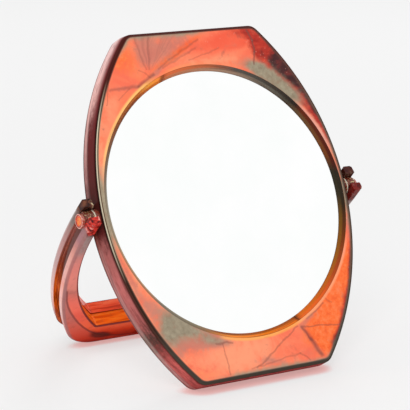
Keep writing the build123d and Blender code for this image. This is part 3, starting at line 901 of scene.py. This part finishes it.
# %% Bands of the stand's section
def stand_colour(tree, at):
    """Each band of the section by its row count, with a colour of its own down the arm."""
    across, crease = at["across"], at["crease"]
    height = weighted(tree, -(FOOT + 8) / SPAN, (at["z"], 1 / SPAN), (at["cloud"], 16 / SPAN))
    down = {
        name: add(tree, "ValToRGB", {0: height}, [((z - FOOT) / SPAN, code) for z, code in stops])
        for name, stops in DOWN_THE_ARM.items()}

    def drawn_out(side, pitch):
        """Noise drawn out along the moulding, by the length run and a place across it."""
        place = add(tree, "CombineXYZ", {0: side, 1: at["run"]})
        place = add(tree, "Mapping", {"Vector": place, "Scale": (pitch, 0.045, 1)})
        streaky = {"Scale": 1.0, "Detail": 3.0, "Roughness": 0.55, "Distortion": 0.4}
        return add(tree, "TexNoise", {"Vector": place, **streaky})

    streaks = add(tree, "ValToRGB", {0: drawn_out(across, 2.2)}, STREAKS)
    bar = drawn_out(at["y"], 0.55)
    bright, behind = [add(tree, "ValToRGB", {0: bar}, stops) for stops in (BRIGHT, BEHIND)]
    streaks = painted(tree, down["groove"], streaks, (height, 0.35, 0.7, 0.75, 0.1))
    # The prong ends by the pivot gather every colour of the batch, with specks of painted
    # highlight in the red knots and painted shade on the right, the far side.
    knots = add(tree, "TexNoise", {"Vector": at["mm"], "Scale": 0.22, "Detail": 2.0, "Distortion": 1.2})
    red, dark = [add(tree, "ValToRGB", {0: knots}, stops) for stops in (RED_KNOTS, DARK_KNOTS)]
    tip = painted(tree, red, dark, (across, 11.5, 12.5))
    tip = painted(tree, tip, "#3E1410", (at["x"], -10, 10, 0, 0.75))
    reached = weighted(tree, at["z"], (cover(tree, (across, 4.6, 5.2)), -4.0))
    aside = add(tree, "Math", {0: crease}, operation="ABSOLUTE")
    colour = down["face"]
    for over, *parts in (
        # The front face, with the crease that shows through it and the smoke in the bar.
        (down["outside"], (crease, -0.6, 0.8, 1, 0)),
        ("#6A2A28", (aside, 0.15, 1.0, 0.7, 0), at["creased"], (across, 2.9, 3.0), (across, 4.6, 4.9, 1, 0)),
        ("#5A2620", (at["smoke"], 0.1, 0.8, 0, 0.85)),
        # The window's side: a bright strip in front, orange with painted light that comes through
        # the bar, and a red one behind, between dark lines.
        ("#8A3A34", (across, 2.7, 3.05, 1, 0)),
        ("#4A1014", (across, 1.2, 1.5, 1, 0)),
        (bright, (across, 1.0, 1.15, 1, 0)),
        # The outside: a mauve line on the front bead's round, its wall pale with painted reflection,
        # and the groove with painted shade along its front side, most high up.
        ("#A06A68", (across, 4.35, 4.7, 0, 0.75)),
        (down["front_wall"], (across, 5.0, 5.35)),
        ("#7E3228", (across, 6.0, 6.5)),
        (streaks, (across, 9.3, 10.2)),
        ("#4A1A12", (across, 9.3, 9.8), (across, 10.7, 11.0, 0.8, 0), (height, 0.3, 0.6, 0.3, 1)),
        # The back bead: its wall, pale with painted reflection and a pale line of painted highlight,
        # its round and the back face.
        (down["back_wall"], (across, 14.1, 14.8)),
        ("#DDD4D2", (across, 15.6, 16.1), (height, 0.1, 0.5, 0.1, 0.6)),
        (down["outside"], (across, 16.9, 17.3)),
        (down["face"], (across, 17.9, 18.05)),
        # The window's side again, from the back.
        ("#1E1210", (across, 19.6, 19.9)),
        (behind, (across, 20.7, 20.95)),
        ("#5A1610", (across, 23.9, 24.3)),
        (bright, (across, 24.7, 25.1)),
        (tip, (reached, -5, -1)),
        ("#8E3A2A", (at["fine"], 0.5, 0.8, 0, 0.25)),
    ):
        colour = painted(tree, colour, over, *parts)
    return colour


# %% The stand's material and skin
def mottled_stand():
    """The redder batch of the same acrylic. The stand is slim, so half of its light comes
    from inside the plastic and the sheen is weaker than the colour."""
    material, tree = new_material("mottled_polished_acrylic_red")
    at = surveyed(tree, STAND_LEAN, ("across", "run", "crease", "creased", "smoke"))
    # Clouds of 20 mm and fine folds of 3 mm.
    cloud = {"Vector": at["mm"], "Scale": 0.05, "Detail": 4.0, "Roughness": 0.5}
    fine = {"Vector": at["mm"], "Scale": 0.3, "Detail": 4.0, "Roughness": 0.6}
    at |= {"cloud": add(tree, "TexNoise", cloud), "fine": add(tree, "TexNoise", fine)}
    surfaced(tree, {
        "Base Color": stand_colour(tree, at), "Roughness": cover(tree, (at["fine"], 0.3, 0.8, 0.06, 0.15)),
        "IOR": IOR_ACRYLIC, "Specular IOR Level": 0.3,
        "Normal": add(tree, "Bump", {"Height": at["cloud"], "Strength": 0.15, "Distance": RIPPLE}),
    }, inner=0.5)
    return material


stand_plastic = mottled_stand()
skin = leant(yoke_points, STAND_LEAN)
yoke = mesh_piece("stand_skin", skin, faces, stand_plastic, "stand")
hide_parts("stand")
yoke_x, yoke_z = yoke_points[..., 0], yoke_points[..., 2]
run = np.concatenate([[0], np.cumsum(np.hypot(*np.diff(front[0], axis=0).T))])
set_values(
    yoke,
    across=np.broadcast_to(yoke_across[:, None], yoke_x.shape),
    run=np.broadcast_to(run, yoke_x.shape),
    crease=signed_distance(-np.abs(yoke_x), yoke_z, CREASE),
    creased=faded(-yoke_x, 8, 10) * faded(-yoke_z, 56, 3),
    smoke=clouds(yoke_x, yoke_z, BAR_SPOTS),
)

# %% [markdown]
# ## Pivots
# Each arm has a round boss between its prongs, and the frame has a lug that faces it. Both
# are short tubes round the pin. A section turned about the pin's axis makes them.

# %% Bosses and lugs
# Each tube: where it starts and ends along the pin, its bore and its radius, and how far
# its outer edges are rounded.
BOSS = (84.5, 90.2, 2.45, 5.2, 0.3)
LUG = (80.0, 83.65, 2.45, 5.6, 0.4)


def turned(name, section, material, body, slot, steps=48):
    """A closed section of (x, radius) corners turned about the pins' axis:
    (x, r cos t, r sin t), with t once round."""
    t = np.linspace(0, 2 * np.pi, steps, endpoint=False)
    x = np.broadcast_to(section[:, 0, None], (len(section), steps))
    points = np.stack([x, section[:, 1, None] * np.cos(t), section[:, 1, None] * np.sin(t)], -1)
    faces = quads(closed(np.arange(len(section))), closed(np.arange(steps)), steps)
    return mesh_piece(name, leant(points, 0.0), faces, material, body)


def tube_section(side, start, end, inner, outer, edge):
    """A tube's section on one side of the mirror, as closed (x, radius) corners."""
    rim = rounded([(start, inner), (start, outer), (end, outer), (end, inner)], [edge, edge])
    return rim[:, :2] * [side, 1]


def hinge_plastic():
    """The thick ends round the pins, where smoke, red and amber fold into one another."""
    material, tree = new_material("smoked_amber_acrylic")
    mm = surveyed(tree, 0.0)["mm"]
    folds = add(tree, "TexNoise", {"Vector": mm, "Scale": 0.3, "Detail": 3.0, "Distortion": 2.2})
    colour = add(tree, "ValToRGB", {0: folds}, [
        (0.30, "#1C1210"), (0.42, "#5A2018"), (0.50, "#8A3A28"), (0.56, "#4A2A20"), (0.64, "#A8855C"),
        (0.72, "#D8C49A")])
    surfaced(tree, {
        "Base Color": colour, "Roughness": cover(tree, (folds, 0.3, 0.8, 0.05, 0.14)),
        "IOR": IOR_ACRYLIC, "Specular IOR Level": 0.35,
    })
    return material


smoky = hinge_plastic()
for side, word in ((-1, "left"), (1, "right")):
    turned(word + "_boss", tube_section(side, *BOSS), smoky, "stand", "mottled_stand")
    turned(word + "_lug", tube_section(side, *LUG), smoky, "mirror_head", "mottled_shell")

# %% [markdown]
# ## Pins, packing and glass
# These small pieces keep the solids' own shapes. Each gets a finished copy: its triangles
# are merged and its round sides shaded smooth, and the edges of the pins and the nylon
# washers are softened. Every one has the material that such a part is really made of.

# %% Plastic of the pins
PIN_HEAD = 4.1
RINGS = [
    (0.0, "#FF8A14"), (0.24, "#F86A0F"), (0.40, "#FF9A24"), (0.52, "#D8480F"), (0.62, "#FF6A18"),
    (0.72, "#E8480F"), (0.77, "#5A120C"), (0.83, "#8E2418"), (0.88, "#F0A08C"), (0.94, "#F4B8A8"),
    (1.0, "#9A4A3C")]


def pin_acrylic():
    """Clear orange plastic. The dished head is painted with a pale rim of painted highlight, a
    dark ring of painted shade inside it and a bright middle with thin dark cracks of painted
    reflection."""
    material, tree = new_material("clear_orange_acrylic")
    at = surveyed(tree, 0.0)
    radius = add(tree, "VectorMath", {0: at["mm"], 1: (0, 1, 1)}, operation="MULTIPLY")
    radius = add(tree, "VectorMath", {0: radius}, out="Value", operation="LENGTH")
    reflection_cracks = add(tree, "TexNoise", {"Vector": at["mm"], "Scale": 0.35, "Detail": 3.0, "Distortion": 1.2})
    reach = weighted(tree, -0.4 / PIN_HEAD, (radius, 1 / PIN_HEAD), (reflection_cracks, 0.8 / PIN_HEAD))
    turn = add(tree, "Math", {0: at["z"], 1: at["y"]}, operation="ARCTAN2")
    shade = add(tree, "TexNoise", {"W": turn, "Scale": 1.6, "Detail": 3.0}, noise_dimensions="1D")
    colour = add(tree, "ValToRGB", {0: reach}, RINGS)
    colour = painted(tree, colour, "#B0301A", (shade, 0.48, 0.62, 0, 0.55))
    colour = painted(tree, colour, "#4A1410", (reflection_cracks, 0.56, 0.66, 0, 0.6))
    polish = cover(tree, (reflection_cracks, 0.3, 0.8, 0.04, 0.12))
    surfaced(tree, {"Base Color": colour, "Roughness": polish, "IOR": IOR_ACRYLIC})
    return material


# %% Materials of the inner pieces
GRAIN_DEPTH = 0.3 * MM


def speckled(name, dark, light, scale, roughness, metallic=0.0, grain=0.0):
    """A plain piece that is a little uneven: two colours by fine noise, and a soft grain."""
    material, tree = new_material(name)
    mm = surveyed(tree, 0.0)["mm"]
    noise = add(tree, "TexNoise", {"Vector": mm, "Scale": scale, "Detail": 5.0, "Roughness": 0.6})
    surfaced(tree, {
        "Base Color": add(tree, "ValToRGB", {0: noise}, [(0.3, dark), (0.7, light)]),
        "Roughness": cover(tree, (noise, 0.3, 0.7, *roughness)), "Metallic": metallic,
        "Normal": add(tree, "Bump", {"Height": noise, "Strength": grain, "Distance": GRAIN_DEPTH}),
    })
    return material


# Nylon stays waxy and cream as it is moulded, and rolled spring steel is bright with a soft
# grain. Foam soaks up the light, and pressed board scatters it. Glass silvered behind gives
# nearly all of it back.
nylon = speckled("natural_nylon", "#C9BFA6", "#E6DEC8", 0.8, (0.4, 0.55), grain=0.1)
steel = speckled("spring_steel", "#8E9094", "#B4B6BA", 1.5, (0.2, 0.35), metallic=1.0, grain=0.05)
foam = speckled("closed_cell_foam", "#34343A", "#5C5C60", 2.0, (0.85, 0.95), grain=0.6)
board = speckled("packing_board", "#A8A296", "#C4BEB2", 0.6, (0.6, 0.75), grain=0.15)
silvered = speckled("silvered_glass", "#FBFDFC", "#FFFFFF", 0.03, (0.008, 0.02), metallic=1.0)
# Each kind of piece: its material, its slot, and by how many millimetres its edges soften.
SMALL_PIECES = {
    "pivot_pin": (pin_acrylic(), "pin_plastic", 0.15),
    "friction_washer": (nylon, "washer_nylon", 0.08),
    "spring_washer": (steel, "spring_steel", 0.0),
    "mirror_pad": (foam, "foam", 0.0),
    "spacer_ring": (board, "packing_board", 0.0),
    "mirror": (silvered, "mirror_glass", 0.0),
}
print("small pieces", list(SMALL_PIECES))


# %% Finished copies
MERGE_GAP = 1e-6
FLAT_WITHIN, BEVEL_FROM = np.radians([0.5, 40])


def finished(node, material, soft):
    """A merged and smoothed copy of a solid's own mesh, its edges softened by a few tenths."""
    mesh = frame["nodes"][node].data.copy()
    work = bmesh.new()
    work.from_mesh(mesh)
    bmesh.ops.remove_doubles(work, verts=work.verts, dist=MERGE_GAP)
    if soft:
        bmesh.ops.dissolve_limit(work, angle_limit=FLAT_WITHIN, verts=work.verts, edges=work.edges)
    piece = riding(node + "_finished", work, mesh, material, "mirror_head", sharp_from=25)
    if soft:
        bevel = piece.modifiers.new("soft_edges", "BEVEL")
        bevel.width, bevel.segments = soft * MM, 2
        bevel.limit_method, bevel.angle_limit = "ANGLE", BEVEL_FROM
    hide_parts(node)
    return piece


for node, obj in frame["nodes"].items():
    obj.data.materials.clear()
    if node in ("front_shell", "back_shell", "stand"):
        obj.data.materials.append(stand_plastic if node == "stand" else frame_plastic)
        continue
    kind = next(word for word in SMALL_PIECES if node.endswith(word))
    material, slot, soft = SMALL_PIECES[kind]
    obj.data.materials.append(material)
    finished(node, material, soft)
    print(node, "is finished as", slot)
